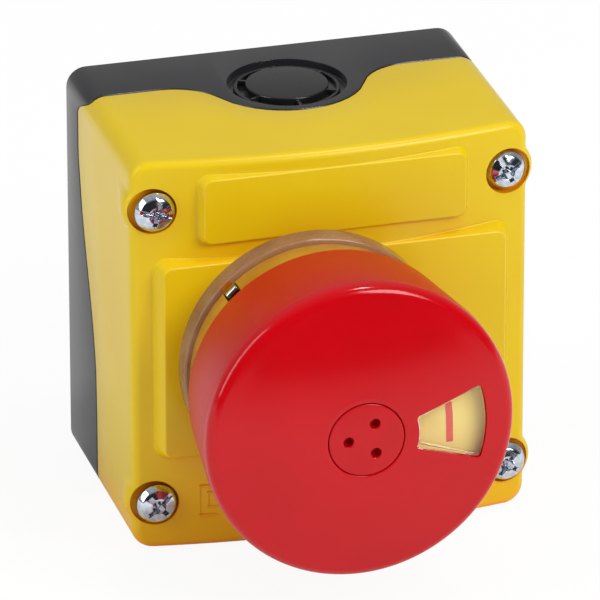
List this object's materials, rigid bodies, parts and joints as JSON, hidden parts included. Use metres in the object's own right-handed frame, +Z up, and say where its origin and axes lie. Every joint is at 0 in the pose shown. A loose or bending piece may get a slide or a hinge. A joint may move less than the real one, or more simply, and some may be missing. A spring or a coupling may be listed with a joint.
{
  "type": "emergency stop control station",
  "caption": "Surface-mounted box with a yellow cover, dark base and a large red mushroom pushbutton that is pressed to stop and twisted to release.",
  "frame": {"origin": "centre of the bounding box, at the level of the box's bottom face", "axes": "+X right seen from the front, +Y from the button towards the wall, +Z up"},
  "size_m": [0.0732, 0.085, 0.0728],
  "materials": {
    "yellow_plastic": "satin moulded",
    "dark_plastic": "satin moulded",
    "red_plastic": "smooth moulded",
    "clear_plastic": "clear moulded",
    "amber_plastic": "smooth moulded",
    "pale_yellow": "smooth moulded",
    "rubber": "moulded",
    "zinc_plate": "bright zinc plated",
    "spring_steel": "drawn wire",
    "brass": "stamped",
    "white_plastic": "moulded",
    "grey_plastic": "moulded"
  },
  "bodies": {
    "station": {"rear_base": "dark_plastic", "front_cover": "yellow_plastic", "cover_gasket": "rubber", "cover_screw_1": "zinc_plate", "cover_screw_2": "zinc_plate", "cover_screw_3": "zinc_plate", "cover_screw_4": "zinc_plate", "operator_body": "dark_plastic", "panel_seal": "rubber", "bezel_ring": "clear_plastic", "collar_sleeve": "amber_plastic", "ring_pin": "zinc_plate", "fixing_nut": "grey_plastic", "cam_ring": "white_plastic", "return_spring": "spring_steel", "contact_housing_1": "grey_plastic", "contact_housing_2": "grey_plastic", "contact_spring_1": "spring_steel", "contact_spring_2": "spring_steel", "fixed_terminal_1a": "brass", "fixed_terminal_1b": "brass", "fixed_terminal_2a": "brass", "fixed_terminal_2b": "brass", "terminal_screw_1a": "zinc_plate", "terminal_screw_1b": "zinc_plate", "terminal_screw_2a": "zinc_plate", "terminal_screw_2b": "zinc_plate"},
    "pusher": {"spindle": "grey_plastic", "drive_plate": "white_plastic"},
    "head": {"button_cap": "red_plastic", "centre_plug": "red_plastic", "window_lens": "clear_plastic"},
    "indicator": {"indicator_disc": "pale_yellow"},
    "plunger_1": {"contact_plunger_1": "white_plastic", "contact_bridge_1": "brass"},
    "plunger_2": {"contact_plunger_2": "white_plastic", "contact_bridge_2": "brass"}
  },
  "joints": [
    {"name": "press", "type": "slide", "parent": "station", "child": "pusher", "axis": [0, 1, 0], "range_m": [0, 0.0055], "deforming": ["return_spring", "contact_spring_1", "contact_spring_2"]},
    {"name": "twist", "type": "hinge", "parent": "pusher", "child": "head", "pos_m": [-0.0051, -0.03, 0.0356], "axis": [0, 1, 0], "range_deg": [0, 45], "stiffness_Nm_per_rad": 0.05},
    {"name": "indicator_turn", "type": "hinge", "parent": "pusher", "child": "indicator", "pos_m": [-0.0051, -0.03, 0.0356], "axis": [0, 1, 0], "range_deg": [0, 60]},
    {"name": "plunger_1_slide", "type": "slide", "parent": "station", "child": "plunger_1", "axis": [0, 1, 0], "range_m": [0, 0.0055]},
    {"name": "plunger_2_slide", "type": "slide", "parent": "station", "child": "plunger_2", "axis": [0, 1, 0], "range_m": [0, 0.0055]}
  ],
  "couplings": [
    {"joint": "indicator_turn", "follows": "press", "rad_per_m": 190.3},
    {"joint": "plunger_1_slide", "follows": "press", "ratio": 1},
    {"joint": "plunger_2_slide", "follows": "press", "ratio": 1}
  ]
}
